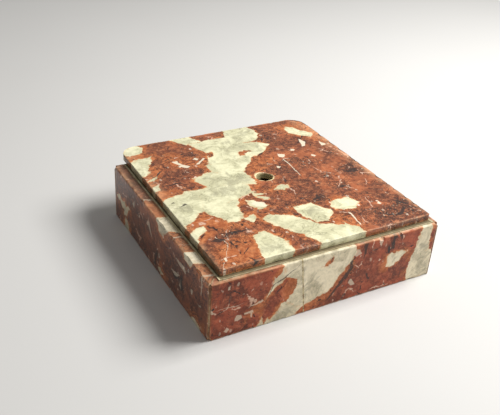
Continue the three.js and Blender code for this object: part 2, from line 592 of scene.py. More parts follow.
# The figure of each block of marble, in mm from the middle of the body: along the face and up it,
# or, on the top slab, along X and Y. Each patch is a convex outline, and patches that overlap are
# one. They run right through a slab, as the colours of the stone do.
#   cream: light stone             islands: red left inside the cream
#   ochre: orange-brown zones      shade: darker, browner zones    smoke: greyer cream zones
#   white: calcite veins, flecks   dark: black veins, pits         soot: tangled black lines
TOP_FIGURE = {
    "cream": [
        [(7, 83), (27, 83), (31, 69), (24, 60), (6, 61)], [(-23, 72), (8, 72), (15, 57), (-17, 57)],
        [(-16, 60), (17, 60), (28, 52), (20, 43), (5, 36), (-24, 38)],
        [(-25, 39), (8, 38), (-5, 22), (-26, 30)], [(-39, 27), (-26, 31), (-5, 24), (-5, 8), (-38, 12)],
        [(-38, 14), (-5, 9), (-12, -3), (-23, -7), (-50, -11), (-44, 11)],
        [(-60, 12), (-50, 14), (-42, 12), (-48, -11), (-57, -13)],
        [(-70, 7), (-59, 12), (-50, -8), (-59, -17), (-70, -26)],
        [(-51, -9), (-24, -6), (-31, -21), (-36, -29), (-43, -28)],
        [(-34, -26), (-26, -24), (-25, -29), (-30, -32)], [(-15, -3), (-6, -7), (-9, -14), (-12, -13)],
        [(-21, -10), (-17, -11), (-13, -20), (-19, -21.5), (-22, -16)],
        [(0, -4), (5, -1), (12, -1), (11, -6), (6, -8)],
        [(-1, -28), (6, -26), (13, -26), (19, -38), (12, -47), (5, -46), (0, -38)],
        [(-23, -32), (-16, -29), (-5, -35), (9, -52), (6, -58), (-9, -58), (-19, -41)],
        [(-11, -56), (10, -50), (22, -60), (24, -72), (-5, -72)],
        [(20, -36), (24, -30), (38, -29), (40, -37), (34, -42), (22, -39)],
        [(-33, -42), (-29, -43), (-21, -57), (-24, -74), (-42, -74), (-40, -60), (-37, -48)],
        [(-70, -31), (-61, -25), (-57, -24), (-58, -30), (-63, -36), (-70, -40)],
        [(-70, 59), (-61, 64), (-52, 65), (-53, 58), (-62, 43), (-70, 39)],
        [(-70, 75), (-58, 84), (-53, 79), (-58, 71), (-66, 68)], [(-67, 34), (-59, 40), (-62, 34)],
        [(-70, 18), (-66, 27), (-61, 29), (-63, 21)],
        [(51, 68), (54, 72), (59, 70), (66, 55), (62, 50), (57, 54), (52, 62)],
        [(-33, 83), (-17, 83), (-13, 73), (-24, 72)], [(15, -57), (18, -53), (21, -63), (14, -62)],
    ],
    "smoke": [
        [(-36, 26), (-14, 28), (-10, 12), (-24, -4), (-40, 4)], [(4, 78), (22, 78), (16, 62), (0, 64)],
        [(-62, 2), (-54, 4), (-56, -12), (-66, -14)], [(-36, -56), (-24, -54), (-26, -72), (-40, -72)],
        [(4, -30), (14, -32), (8, -42), (2, -38)], [(-4, 56), (8, 56), (4, 50), (-6, 50)],
    ],
    "islands": [
        [(1, 42.5), (4, 42), (11, 48), (8, 50.5), (4, 47.5)], [(-14, -1), (-12, 7), (-7, 5), (-8, -4)],
        [(-12, -8), (-6, -5), (-3, -10), (-8, -11)], [(-19, 49), (-17, 56), (-13, 57), (-14, 51)],
        [(-18, 84), (9, 84), (6, 73), (-12, 73)],
    ],
    "ochre": [
        [(10, -49), (18, -41), (27, -44), (28, -62), (20, -62)],
        [(-4, 18), (2, 34), (14, 39), (24, 33), (8, 19)], [(-70, 12), (-60, 14), (-50, 18), (-64, 22)],
        [(-60, -16), (-48, -8), (-28, -34), (-50, -40)],
        [(-64, -50), (-46, -42), (-34, -40), (-38, -66), (-64, -70)],
        [(44, 74), (70, 78), (72, 34), (62, 46)], [(-10, 0), (4, 0), (0, -10), (-6, -8)],
        [(-52, 60), (-40, 66), (-20, 46), (-26, 34), (-44, 44)],
    ],
    "shade": [
        [(-62, 34), (-52, 44), (-30, 34), (-44, 22), (-58, 24)],
        [(8, -6), (24, -4), (34, -22), (16, -26), (4, -18)], [(24, 66), (36, 62), (34, 48), (22, 50)],
        [(-62, -38), (-50, -37), (-52, -48), (-62, -50)], [(38, -52), (68, -46), (74, -70), (34, -70)],
        [(54, 4), (66, 2), (68, -10), (56, -8)], [(-24, -34), (-10, -50), (-12, -66), (-18, -60)],
    ],
    "white": [
        [(-21, -14), (-17.5, -12), (-13.5, -15), (-13, -18.5), (-16, -20), (-20, -18)],
        [(26.2, 29), (27.1, 29), (25.6, 5), (25.1, 5)], [(25, 32), (26.5, 37), (31, 34), (28.5, 30.5)],
        [(-43, 52), (-39.5, 52), (-37.5, 45.5), (-40, 46)],
        [(-41, 44.5), (-38, 46.5), (-34, 42), (-37, 40.5)],
        [(-30, 43), (-22, 50), (-21, 49), (-28, 43)], [(-29, 50), (-27, 52), (-25, 50), (-27, 48)],
        [(-66.2, -67), (-65.9, -66.8), (-62.7, -60.8), (-63, -60.6)],
        [(-62, -60.4), (-60.4, -60), (-59, -56.6), (-60.8, -57.4)],
        [(-59.3, -57), (-59, -57.1), (-52.7, -46), (-52.9, -45.9)],
        [(-53, -46), (-52.6, -46), (-56, -37), (-56.3, -37.2)],
        [(27, -44), (28, -46), (25.8, -59), (25, -58)], [(37.5, 37), (39, 40), (41, 38), (39, 36)],
        [(16, 19), (17, 22), (19, 20), (17.5, 18)], [(46, 26), (48, 28), (50, 25), (48, 24)],
        [(48, 40), (52, 51), (54, 46), (51, 40)], [(61, 36), (66, 37), (64, 44)],
        [(49, -43), (50.5, -41), (51.5, -44), (50, -45)],
    ],
    "soot": [
        [(52, 6), (66, 8), (68, -6), (56, -8)], [(36, -10), (48, -12), (46, -22), (36, -20)],
        [(10, -20), (24, -18), (26, -28), (14, -28)], [(40, -48), (68, -44), (70, -60), (42, -62)],
        [(8, 8), (16, 6), (14, -2), (9, -2)], [(20, 64), (30, 66), (30, 54), (22, 54)],
        [(26, 26), (34, 30), (50, 16), (30, 12)], [(56, 34), (64, 36), (66, 24), (58, 22)],
        [(34, 2), (44, 4), (42, -4), (34, -4)], [(-58, -38), (-46, -34), (-34, -38), (-48, -43)],
    ],
    "dark": [
        [(15, -24.5), (21, -21.5), (23, -23), (17, -25.6)], [(19, -21.8), (21, -20), (22.5, -24.5)],
        [(55, -2.5), (61, 0.5), (66, -0.5), (60, -2.5)], [(58, -4), (62, -1), (63, -4.5)],
        [(43, -54), (48, -55.4), (53, -59.4), (47, -57)],
        [(52, -58), (62, -53), (62, -54.6), (53, -59.6)],
        [(60, -44), (63, -45), (68, -50.6), (67, -51), (63, -48)],
        [(63, -54), (70, -55.5), (70, -57), (64, -55)],
        [(-53, -36.2), (-44, -36.6), (-34, -38), (-44, -38.6)],
        [(-60, -40.5), (-56, -38.5), (-52, -42), (-56, -43)],
        [(-62, 24.4), (-52, 25.4), (-46, 24), (-54, 23.8)], [(11, 1), (12.6, 6), (13.6, 2)],
        [(38, -17.5), (43, -15.8), (45, -18), (41, -18.4)], [(26.5, 58), (28, 63), (28.8, 59)],
        [(-60, -1), (-57, 1), (-56, -1)], [(-64, 4), (-62, 5.5), (-61, 4)],
    ],
}
FRONT_FIGURE = {
    "cream": [
        [(-31, 39), (14, 39), (16, 33), (12, 24), (-8, 22), (-22, 26), (-30, 29)],
        [(-22, 28), (11, 25), (1, 11), (-10, 8), (-22, 20)], [(-22, 21), (-2, 10), (-17, 5), (-29, 10)],
        [(-31, 11), (-16, 6), (-23, -1), (-39, -1), (-36, 4)], [(-30, 36), (-30, 28), (-43, 17.5)],
        [(39, 15), (40, 23), (43, 25.5), (49, 25.5), (53, 22), (50, 18.5), (45, 16)],
        [(66, 39), (71, 39), (72, 20), (59, 16), (60.5, 29)],
        [(59.5, 22), (73, 20), (78, 17), (78, -1), (55.5, -1), (57, 12)],
        [(-47, -1), (-44.5, 7), (-42, -1)], [(-43, -1), (-40.5, 4.5), (-36, 1), (-38, -1)],
    ],
    "smoke": [
        [(64, 26), (70, 24), (73, 6), (66, 2), (62, 10)], [(-18, 30), (-8, 26), (-6, 14), (-18, 10)],
        [(-34, 8), (-26, 10), (-24, 2), (-34, 0)], [(43, 24), (49, 24), (48, 19), (42, 19)],
    ],
    "islands": [[(-6, 28), (1, 34.5), (2, 33), (-1, 29.5), (-4, 27.5)]],
    "ochre": [
        [(1, 9), (4, 8), (12, 23), (8, 25), (4, 20)],
        [(-31, 25), (-22, 24), (-20, 18), (-25, 13), (-30, 15)],
        [(-24, 1), (-16, 6), (2, 10), (4, 6), (-14, 0)],
    ],
    "shade": [
        [(-72, 8), (-52, 4), (-48, -2), (-76, -2)], [(-8, 3), (10, 10), (16, 2), (-6, -2)],
        [(-50, 20), (-40, 16), (-32, 10), (-44, 8), (-56, 14)],
        [(14, 26), (30, 30), (30, 14), (10, 12)],
    ],
    "white": [
        [(-43.5, 18.5), (-42.5, 17), (-52, 14.8)],
        [(-60, 9), (-59, 12.5), (-55.5, 12), (-55, 10), (-58, 8.2)],
        [(-73, 19.2), (-60, 19.5), (-53, 19.1), (-62, 18.9)],
        [(14.5, 30.5), (15.5, 34), (18.5, 33.5), (20, 30.5), (17, 29)],
        [(13, 12), (14.5, 14.5), (17, 12), (18, 9.5), (15, 9.5)],
        [(-54, 12), (-49, 13), (-48, 11), (-54, 10.8)], [(-50.3, 11), (-49, 11), (-49, 8), (-50, 8.5)],
        [(31, 37), (35, 37), (33.3, 31)], [(45, 37), (46, 37), (47.5, 32.5)],
        [(53, 22.5), (54.5, 24), (55, 22.5)], [(-64.5, 33), (-63, 33.5), (-63, 31), (-64.5, 31)],
        [(33, 22), (34, 23.5), (35, 22.5), (34, 21.5)], [(-66, 4), (-64, 6), (-62, 4.5), (-64, 3)],
        [(-76, 22), (-73.5, 21.5), (-72, 18), (-75, 18)],
    ],
    "soot": [
        [(12, 30), (18, 32), (17, 20), (10, 14)], [(40, 38), (49, 38), (48, 28), (41, 27)],
        [(66, 4), (60, 8), (58, 0)],
    ],
    "dark": [
        [(12.5, 26), (14, 28), (15, 20.5), (13, 20)], [(9, 17), (12.5, 22), (14, 20.5), (11, 15)],
        [(4, 10.5), (9, 17), (10, 15), (5.5, 10)], [(-1, 4), (4.5, 11), (5.5, 9.5), (2, 5)],
        [(42, 37), (44, 37), (43, 27), (41, 28)], [(45.5, 36), (48, 36), (48, 32)],
        [(25.5, 15), (26.5, 15), (28, 10.5), (27, 11)], [(21, 37), (24, 36), (22, 26)],
        [(22, 4), (23, 8), (23.5, 4)], [(39, 30), (40, 31), (40.5, 25), (39.5, 25)],
        [(-39.5, 19.5), (-36.3, 26), (-37, 26)], [(-37, 25.5), (-36.3, 26), (-30, 29.4), (-30, 28.6)],
        [(-30, 29.5), (-22, 34), (-30, 28.7)],
    ],
}
LEFT_FIGURE = {
    "cream": [
        [(1, 39), (0, 34), (-5, 31), (-14, 33), (-18, 39)],
        [(-38, 39), (-39, 34.5), (-46, 33.5), (-50, 36), (-52, 39)],
        [(55, -1), (52, 9), (48, 9), (44, -1)], [(67, 19), (61, 22), (57, 18), (62, 15)],
        [(60, 17), (53, 20), (50, 16), (57, 12)], [(52, 17), (43, 18), (50, 11), (56, 9)],
        [(-2, 4), (-6, 7), (-10, 4), (-6, 2)], [(-46, -1), (-49, 3), (-57, 4), (-61, 3), (-61, -1)],
    ],
    "smoke": [[(56, 10), (46, 10), (42, -2), (58, -2)]],
    "islands": [],
    "ochre": [
        [(20, 39), (0, 39), (-2, 33), (18, 35)], [(-16, 39), (-38, 39), (-38, 34), (-18, 34)],
        [(-52, 39), (-76, 39), (-74, 32), (-52, 33)],
    ],
    "shade": [
        [(70, 32), (30, 33), (20, 6), (66, 4)], [(-10, 24), (-34, 30), (-40, 10), (-14, 8)],
    ],
    "white": [
        [(-21, 16), (-25, 17.2), (-34, 19), (-29, 15)],
        [(-27, 27.6), (-40, 28.8), (-42, 25), (-34, 25.6)],
        [(-47.8, 20.5), (-50, 20), (-50, 17), (-48.5, 17)], [(-55, 15), (-61, 17.5), (-61, 16.2)],
        [(-60, 38), (-62, 38), (-61, 24), (-60.3, 24)],
        [(-34, 17), (-36, 17.5), (-35.5, 10), (-33, 12)], [(-4, 16), (-6, 13), (-3, 12)],
        [(25, 38), (23.5, 38.5), (16, 34)], [(-20, 39), (-22, 39), (-24, 34)],
        [(-27, 39), (-28, 39), (-33, 35)], [(-66, 39), (-68, 39), (-72, 36), (-70, 35)],
        [(35, 24), (34, 30), (38, 26)], [(13, 26), (12, 30), (5, 18)],
    ],
    "soot": [[(-22, 22), (-28, 10), (-40, 10), (-38, 24)], [(-4, 16), (2, 16), (5, 3), (0, 3)]],
    "dark": [
        [(-34, 16), (-36, 22), (-38, 12), (-35, 9)], [(-22, 14), (-33, 17), (-28, 13)],
        [(-2, 16), (0, 14), (4, 4), (2, 3)], [(-52, 21), (-54, 18), (-56, 19)],
    ],
}
FAR_FIGURE = {
    "cream": [
        [(-76, 16), (-66, 22), (-52, 10), (-56, -2), (-76, -2)],
        [(-40, 39), (-20, 39), (-14, 28), (-30, 22), (-44, 30)],
        [(-20, 30), (-10, 24), (-12, 14), (-24, 22)], [(10, 6), (24, 39), (36, 39), (34, 18), (22, 2)],
        [(34, 24), (46, 20), (58, 6), (54, -2), (36, 4)], [(58, 39), (70, 39), (64, 26), (56, 30)],
        [(-6, 10), (0, 14), (4, 8), (-2, 5)], [(66, 14), (76, 20), (76, 8)],
    ],
    "smoke": [[(14, 20), (30, 34), (30, 10), (18, 6)], [(-70, 14), (-58, 14), (-60, 2), (-72, 4)]],
    "islands": [[(24, 16), (27, 24), (29, 22), (27, 14)]],
    "ochre": [[(-52, 26), (-42, 32), (-30, 18), (-46, 14)], [(44, 26), (56, 30), (62, 12), (52, 10)]],
    "shade": [[(-14, 34), (8, 36), (6, 16), (-10, 18)], [(-50, 10), (-20, 12), (-14, -2), (-46, -2)]],
    "white": [
        [(-8, 30), (4, 36), (5, 35), (-6, 29)], [(44, 34), (46, 35), (52, 22), (51, 21)],
        [(-34, 10), (-30, 13), (-26, 8), (-30, 6)], [(70, 30), (72, 32), (73, 28), (71, 27)],
    ],
    "soot": [[(-22, 20), (-8, 16), (0, 0), (-16, 4)]],
    "dark": [
        [(-22, 16), (-11, 12), (-2, 2), (-13, 9)], [(34, 18), (36, 17), (40, 4), (37, 6)],
        [(-60, 30), (-52, 36), (-53, 33)],
    ],
}


def outside(recipe, place, patches):
    """How far place is outside the nearest of the patches, in mm, and negative inside one. The
    third coordinate of place is 1, so a dot product measures from an edge."""
    nearest = None
    for corners in patches:
        middle = Vector((sum(x for x, y in corners), sum(y for x, y in corners))) / len(corners)
        deepest = None
        for start, end in zip(corners, corners[1:] + corners[:1]):
            run = Vector(end) - Vector(start)
            outwards = Vector((run.y, -run.x)).normalized()
            if outwards.dot(middle - Vector(start)) > 0:
                outwards.negate()
            edge = (outwards.x, outwards.y, -outwards.dot(Vector(start)))
            past = recipe.vector("DOT_PRODUCT", place, edge)
            deepest = past if deepest is None else recipe.math("MAXIMUM", deepest, past)
        nearest = deepest if nearest is None else recipe.math("MINIMUM", nearest, deepest)
    return nearest if nearest else 100.0


class Marble(Recipe):
    """Breccia marble with a figure. axes are the two coordinates of the slab's broad face, outer is
    where that face is along the third, and lean is how far the figure slants through the slab. A
    marble's places are from the middle of the body."""

    def __init__(self, name, figure, axes, lean, outer):
        super().__init__(name, (-BODY_MIDDLE.x / MM, -BODY_MIDDLE.y / MM, 0))
        third = ({0, 1, 2} - set(axes)).pop()
        self.through = self.math("SUBTRACT", self.split[third], outer)
        slant = self.math("MULTIPLY_ADD", self.through, lean, self.split[axes[0]])
        inputs = {"X": slant, "Y": self.split[axes[1]], "Z": 1.0}
        face = self.node("ShaderNodeCombineXYZ", inputs).outputs[0]

        # The borders of the colours wander slowly, in ragged steps, and from chip to chip.
        half = (-0.5, -0.5, -0.5)
        slow = self.vector("ADD", self.noise(15, 2, 0.5, output="Color"), half)
        ragged = self.vector("ADD", self.noise(4.0, 5, 0.62, output="Color"), half)
        wander = self.vector("MULTIPLY_ADD", slow, (7, 7, 0), face)
        torn = self.vector("MULTIPLY_ADD", ragged, (4.4, 4.4, 0), wander)
        to_chip = self.vector("SUBTRACT", self.cells(torn, 2.6)["Position"], torn)
        self.torn = self.vector("MULTIPLY_ADD", to_chip, (0.25, 0.25, 0), torn)
        self.fine = self.vector("MULTIPLY_ADD", ragged, (3.2, 3.2, 0), face)
        self.mottle = self.noise(3.0, 7, 0.72, 0.4)

        # How far each place is outside each kind of patch
        self.out = {}
        for kind, patches in figure.items():
            place = self.fine if kind in ("white", "dark") else self.torn
            self.out[kind] = outside(self, place, patches)
        self.out["cream"] = self.largest(self.out["cream"], self.times(self.out["islands"], -1.0))

    def red_stone(self, reds, sheen):
        """Clouds of brown and rust, in fragments of slightly different shades."""
        dark_red, mid_red, light_red = reds
        clouds = self.noise(13, 7, 0.66, 0.6)
        red = self.mix(self.fade(clouds, 0.38, 0.60), dark_red, mid_red)
        red = self.mix(self.fade(self.out["shade"], 3.0, -4.0, 0.0, 0.65), red, dark_red)
        red = self.mix(self.fade(self.mottle, 0.44, 0.70), red, light_red)
        red = self.mix(self.fade(self.mottle, 0.46, 0.28, 0.0, 1.7 * sheen), red, paint(78, 44, 34))
        fragment = self.chance(self.cells(self.torn, 11))
        return self.mix(self.fade(fragment, 0.2, 0.9, 0.0, 0.35), red, dark_red)

    def margins(self, red):
        """A rusty orange margin of uneven width borders the cream."""
        rust = self.mix(self.fade(self.mottle, 0.35, 0.7), paint(170, 88, 44), paint(222, 140, 84))
        width = self.fade(self.noise(9, 3), 0.36, 0.68, 0.4, 8.0)
        margin = self.fade(self.math("DIVIDE", self.out["cream"], width), 1.0, 0.1, 0.0, 0.85)
        zone = self.fade(self.out["ochre"], 2.5, -3.0, 0.0, 0.7)
        return self.mix(self.largest(margin, zone), red, rust)

    def flecks(self, red, sheen):
        """Pale flecks and streaks of calcite, haze, and black specks, which are given back too."""
        cells = self.cells(self.vector("MULTIPLY", self.fine, (1.0, 0.6, 1.0)), 3.4)
        size = self.fade(self.chance(cells), 0.56, 1.0, 0.0, 0.30)
        fleck = self.fade(self.math("SUBTRACT", size, cells["Distance"]), 0.0, 0.06)
        field = self.fade(self.noise(16, 3), 0.42, 0.6, 0.25, min(1.9 * sheen, 0.85))
        red = self.mix(self.times(fleck, field), red, paint(244, 220, 194))
        haze = self.fade(self.noise(6, 6, 0.7, 0.8), 0.56, 0.76, 0.0, 0.7 * sheen)
        red = self.mix(haze, red, paint(208, 158, 120))
        speck = self.fade(self.noise(1.3, 3, 0.6, 0.5), 0.58, 0.66)
        speck = self.times(speck, self.fade(self.noise(21, 2), 0.42, 0.56))
        return self.mix(self.times(speck, 0.5), red, paint(48, 38, 34)), speck

    def seams(self, red, sheen):
        """Winding black seams, most of them in the shaded zones, and pale dots."""
        seam = self.fade(self.winding(self.noise(8, 7, 0.72, 1.6)), 0.032, 0.012)
        shaded = self.fade(self.out["shade"], 6.0, -6.0)
        stretch = self.math("MULTIPLY_ADD", shaded, 0.12, self.noise(22, 3))
        seam = self.times(seam, self.fade(stretch, 0.40, 0.48))
        red = self.mix(self.times(seam, 1.6 * sheen), red, paint(40, 32, 30))
        dots = self.fade(self.noise(1.9, 4, 0.7, 0.3), 0.64, 0.72, 0.0, 1.1 * sheen)
        return self.mix(dots, red, paint(214, 170, 142))

    def soot(self, red):
        """Sooty patches: a tangle of short black lines with white specks between them."""
        soot = self.fade(self.out["soot"], 2.0, -2.0)
        tangle = self.winding(self.noise(4.0, 3, 0.6, 1.4))
        strand = self.times(self.fade(tangle, 0.042, 0.016), soot)
        red = self.mix(self.times(strand, 0.85), red, paint(46, 42, 36))
        grit = self.fade(self.noise(1.8, 2, 0.5, 0.2), 0.66, 0.72, 0.0, 0.8)
        return self.mix(self.times(grit, soot), red, paint(238, 222, 196))

    def hairs(self, red):
        """Hair veins follow the borders of the fragments, some pale and some black. They are given
        back too."""
        hair = self.fade(self.cells(self.torn, 16, "DISTANCE_TO_EDGE")["Distance"], 0.022, 0.006)
        where_pale = self.fade(self.noise(12, 2, 0.5, 1.0), 0.54, 0.62)
        where_black = self.fade(self.noise(14, 2, 0.5, 2.0), 0.46, 0.38)
        red = self.mix(self.times(hair, where_pale), red, paint(216, 176, 150))
        return self.mix(self.times(hair, where_black), red, paint(46, 36, 34)), hair

    def cream_stone(self, creams):
        """Warm white with grey-green clouds, faint veins and pits. The grain and the pits are given
        back too."""
        light_cream, mid_cream, grey_cream = creams
        veil = self.noise(12, 6, 0.65, 0.8)
        grain = self.noise(1.6, 4, 0.7)
        pale = self.mix(self.fade(veil, 0.38, 0.60), light_cream, mid_cream)
        smoky = self.fade(self.out["smoke"], 5.0, -4.0)
        smoke = self.math("MULTIPLY_ADD", smoky, 0.13, self.noise(9, 7, 0.7, 1.0))
        pale = self.mix(self.fade(smoke, 0.54, 0.72, 0.0, 0.7), pale, grey_cream)
        lines = self.fade(self.winding(self.noise(8, 5, 0.6, 1.2)), 0.03, 0.0)
        grey = self.times(lines, self.fade(veil, 0.44, 0.60))
        pale = self.mix(self.times(grey, 0.75), pale, paint(136, 132, 104))
        pale = self.mix(self.fade(grain, 0.35, 0.7, 0.0, 0.28), pale, paint(184, 176, 136))
        pit = self.times(self.fade(grain, 0.66, 0.72), self.fade(veil, 0.46, 0.58))
        pale = self.mix(pit, pale, paint(84, 78, 56))
        stain = self.math("MULTIPLY_ADD", self.mottle, 6.0, self.out["cream"])
        pale = self.mix(self.fade(stain, 1.9, 3.6, 0.0, 0.55), pale, paint(220, 168, 112))
        return pale, grain, pit


def breccia(marble, reds, creams, dust_and_painted_light, vein_share, sheen):
    """Mixes a marble. reds are its dark, middle and light red, creams its light, middle and grey
    cream, dust_and_painted_light adds its own dust and its painted light and shade to the stone,
    vein_share is how white the veins are, and sheen is how polished the stone is, which also brings
    out the markings in its red."""
    red = marble.margins(marble.red_stone(reds, sheen))
    red, speck = marble.flecks(red, sheen)
    red = marble.soot(marble.seams(red, sheen))
    red, hair = marble.hairs(red)
    pale, grain, pit = marble.cream_stone(creams)
    is_cream = marble.fade(marble.out["cream"], 0.25, -0.25)
    stone = marble.mix(is_cream, red, pale)
    is_white = marble.fade(marble.out["white"], 0.08, -0.18, 0.0, vein_share)
    stone = marble.mix(is_white, stone, paint(240, 228, 200))
    is_dark = marble.fade(marble.out["dark"], 0.3, -0.15, 0.0, 0.85)
    stone = marble.mix(is_dark, stone, paint(52, 42, 38))

    # Chipped places show paler fresh stone, and each rubbed arris is paled as a painted highlight; both
    # are dull.
    worn = marble.node("ShaderNodeAttribute", {}, attribute_name="worn").outputs["Fac"]
    patchy_wear_and_highlight = marble.fade(marble.noise(5, 4, 0.6), 0.36, 0.56, 0.25, 1.0)
    crushed_and_highlit = marble.mix(is_cream, paint(242, 186, 138), paint(250, 242, 210))
    bruised_and_highlit = marble.mix(0.8, stone, crushed_and_highlit)
    stone = marble.mix(marble.math("MULTIPLY", worn, patchy_wear_and_highlight, clamp=True), stone, bruised_and_highlit)
    stone, dull = dust_and_painted_light(marble, stone, worn)

    polish = marble.fade(marble.mottle, 0.3, 0.7, 0.28, 0.40)
    roughness = marble.math("MULTIPLY_ADD", dull, 0.4, polish, clamp=True)
    relief = marble.math("SUBTRACT", marble.times(grain, 0.25), marble.math("ADD", pit, speck))
    relief = marble.math("SUBTRACT", relief, marble.times(hair, 0.5))
    return marble.finish(stone, roughness, relief, 0.35, 0.12 * MM, sheen)


def ledge_dust_and_painted_light(marble, stone, worn):
    """Dust and old wax on the ledge around the top slab, thickest at its foot, and painted light on the
    tops of the uprights. The sawn inner face and the foot of an upright are rough and powdered too."""
    slab_x = (TOP_LOW.x + TOP_HIGH.x) / 2 / MM - BODY_MIDDLE.x / MM
    half_x = (TOP_HIGH.x - TOP_LOW.x) / 2 / MM
    front = (TOP_LOW.y - BODY_MIDDLE.y) / MM
    off_middle = marble.math("ABSOLUTE", marble.math("SUBTRACT", marble.split[0], slab_x))
    beside = marble.math("DIVIDE", marble.math("SUBTRACT", off_middle, half_x), 2.4)
    before = marble.math("DIVIDE", marble.math("SUBTRACT", front, marble.split[1]), 4.6)
    away = marble.largest(beside, before)
    uneven = marble.math("MULTIPLY_ADD", marble.noise(5, 4, 0.6), 0.9, away)
    on_top = marble.fade(marble.split[2], BODY_TOP / MM - 0.35, BODY_TOP / MM - 0.1)
    # The tops of the uprights are lightened: painted light that makes up for their shaded reds, and a
    # film of polishing dust.
    stone = marble.mix(marble.times(on_top, 0.5), stone, paint(112, 96, 76), "SCREEN")
    dust = marble.times(marble.fade(uneven, 1.4, 0.7, 0.0, 0.75), on_top)
    film = marble.fade(marble.noise(9, 4, 0.6), 0.42, 0.58)
    stone = marble.mix(dust, stone, marble.mix(film, paint(154, 140, 100), paint(226, 212, 172)))

    deep = marble.fade(marble.math("ABSOLUTE", marble.through), WALL / MM - 1.0, WALL / MM - 0.3)
    sawn = marble.largest(deep, marble.fade(marble.split[2], 0.6, 0.1))
    stroke = marble.vector("MULTIPLY", marble.place, (1.0, 1.0, 0.08))
    marks = marble.fade(marble.noise(1.2, 3, 0.6, place=stroke), 0.35, 0.65)
    powder = marble.mix(marks, paint(138, 112, 92), paint(186, 166, 144))
    stone = marble.mix(marble.times(sawn, 0.6), stone, powder)
    return stone, marble.largest(worn, dust, sawn)


def hole_dust_and_painted_shading(marble, stone, worn):
    """Drilling dust in the rod hole, painted pale as painted light on the shaded bore wall, with a pale
    broken rim, olive grime and painted shade down the left side and a powdered underside."""
    centre = (HOLE_CENTRE.x / MM - BODY_MIDDLE.x / MM, HOLE_CENTRE.y / MM - BODY_MIDDLE.y / MM, 0)
    inputs = {"X": marble.split[0], "Y": marble.split[1]}
    flat = marble.node("ShaderNodeCombineXYZ", inputs).outputs[0]
    off = marble.vector("LENGTH", marble.vector("SUBTRACT", flat, centre))
    radius = HOLE_RADIUS / MM
    bruise = marble.math("MULTIPLY_ADD", marble.noise(5, 3), -4.5, off)
    rim = marble.fade(bruise, radius - 1.0, radius - 2.2, 0.0, 0.9)
    stone = marble.mix(rim, stone, paint(246, 230, 180))
    # The bore wall's drilling dust is made pale partly as painted light, lifting the wall out of its
    # shade.
    wall = marble.fade(off, radius + 0.25, radius + 0.02)
    grit = marble.fade(marble.noise(1.0, 4, 0.6), 0.35, 0.65)
    powder = marble.mix(grit, paint(146, 132, 92), paint(196, 182, 134))
    stone = marble.mix(wall, stone, powder)
    # Olive grime and painted shade darken the slab's left side, which faces away from the lamp.
    left_end = TOP_LOW.x / MM
    left_side_grime_and_shade = marble.fade(marble.split[0], left_end + 0.9, left_end + 0.3, 0.0, 0.55)
    stone = marble.mix(left_side_grime_and_shade, stone, paint(92, 78, 48))
    under = marble.fade(marble.split[2], TOP_LOW.z / MM + 0.5, TOP_LOW.z / MM + 0.1)
    stone = marble.mix(marble.times(under, 0.6), stone, powder)
    return stone, marble.largest(worn, wall, under)


def bead_grime_and_groove_shade(recipe, tone):
    """Black grime and painted shade in the groove between the top slab's foot and the lip of the bead,
    which is rubbed clean at the sides."""
    middle = (TOP_LOW.x + TOP_HIGH.x) / 2 / MM
    half = (TOP_HIGH.x - TOP_LOW.x) / 2 / MM
    off_middle = recipe.math("ABSOLUTE", recipe.math("SUBTRACT", recipe.split[0], middle))
    beside = recipe.fade(recipe.math("SUBTRACT", off_middle, half), 0.45, 0.75)
    before = recipe.fade(recipe.math("SUBTRACT", TOP_LOW.y / MM, recipe.split[1]), 1.5, 2.0, 0.0, 0.7)
    # Grime and painted shade are darkest at the slab's foot and in front of it.
    return recipe.mix(recipe.largest(beside, before), paint(120, 106, 76), tone)


def mortar(name, light, dark, lumps=6.0, grime_and_shade=None):
    """Yellowed cement with dust in its pores."""
    recipe = Recipe(name)
    patchy = recipe.fade(recipe.noise(lumps, 5, 0.6, 0.5), 0.35, 0.65)
    sand = recipe.noise(0.7, 3, 0.6)
    tone = recipe.mix(patchy, dark, light)
    tone = recipe.mix(recipe.fade(sand, 0.4, 0.7, 0.0, 0.35), tone, paint(88, 78, 56))
    if grime_and_shade:
        tone = grime_and_shade(recipe, tone)
    return recipe.finish(tone, recipe.fade(sand, 0.2, 0.8, 0.75, 0.95), sand, 0.5, 0.15 * MM)


TOP_REDS = paint(110, 62, 43), paint(172, 96, 59), paint(202, 126, 82)
TOP_CREAMS = paint(241, 237, 198), paint(206, 202, 164), paint(164, 160, 132)
FRONT_REDS = paint(112, 52, 33), paint(172, 82, 54), paint(194, 108, 76)
# The side slabs' reds are darker than the top's: partly their blocks' own tone, partly painted shade for
# faces turned from the lamp.
BODY_REDS_PARTLY_SHADED = paint(98, 54, 38), paint(152, 88, 60), paint(172, 112, 82)
BODY_CREAMS = paint(247, 233, 202), paint(210, 196, 166), paint(156, 148, 126)

X, Y, Z = 0, 1, 2
top_marble = breccia(Marble("top slab marble", TOP_FIGURE, (X, Y), lean=0.0, outer=0.0),
                     TOP_REDS, TOP_CREAMS, hole_dust_and_painted_shading, vein_share=0.85, sheen=0.5)
front_marble = breccia(
    Marble("front slab marble", FRONT_FIGURE, (X, Z), lean=0.4, outer=-HALF_DEPTH / MM),
    FRONT_REDS, BODY_CREAMS, ledge_dust_and_painted_light, vein_share=0.5, sheen=0.25)
left_marble = breccia(
    Marble("left slab marble", LEFT_FIGURE, (Y, Z), lean=0.3, outer=-HALF_WIDTH / MM),
    BODY_REDS_PARTLY_SHADED, BODY_CREAMS, ledge_dust_and_painted_light, vein_share=0.45, sheen=0.5)
right_marble = breccia(
    Marble("right slab marble", FAR_FIGURE, (Y, Z), lean=0.3, outer=HALF_WIDTH / MM),
    BODY_REDS_PARTLY_SHADED, BODY_CREAMS, ledge_dust_and_painted_light, vein_share=0.85, sheen=0.35)
